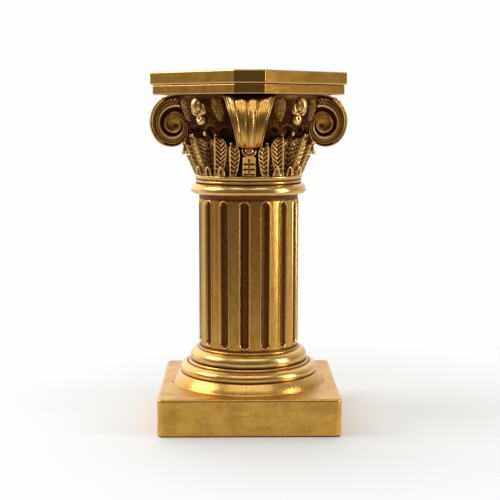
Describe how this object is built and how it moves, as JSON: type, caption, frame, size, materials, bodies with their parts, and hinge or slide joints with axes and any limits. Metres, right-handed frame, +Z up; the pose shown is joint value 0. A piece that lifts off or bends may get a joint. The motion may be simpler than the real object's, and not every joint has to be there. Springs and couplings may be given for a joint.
{
  "type": "column pedestal",
  "caption": "Small classical column pedestal: square plinth, fluted shaft on round mouldings, leafy capital with corner volutes, flat top with cut corners.",
  "frame": {"origin": "centre of the plinth's underside", "axes": "+Z up along the column; X and Y along the plinth's sides and through the corners of the top, with the front towards -Y"},
  "size_m": [0.169, 0.169, 0.3],
  "materials": {
    "antique_gold_plinth": "satin",
    "antique_gold_column": "satin",
    "antique_gold_capital": "satin",
    "antique_gold_top": "satin"
  },
  "bodies": {
    "root": {"plinth": "antique_gold_plinth", "column": "antique_gold_column", "capital": "antique_gold_capital", "top_plate": "antique_gold_top"}
  },
  "joints": []
}
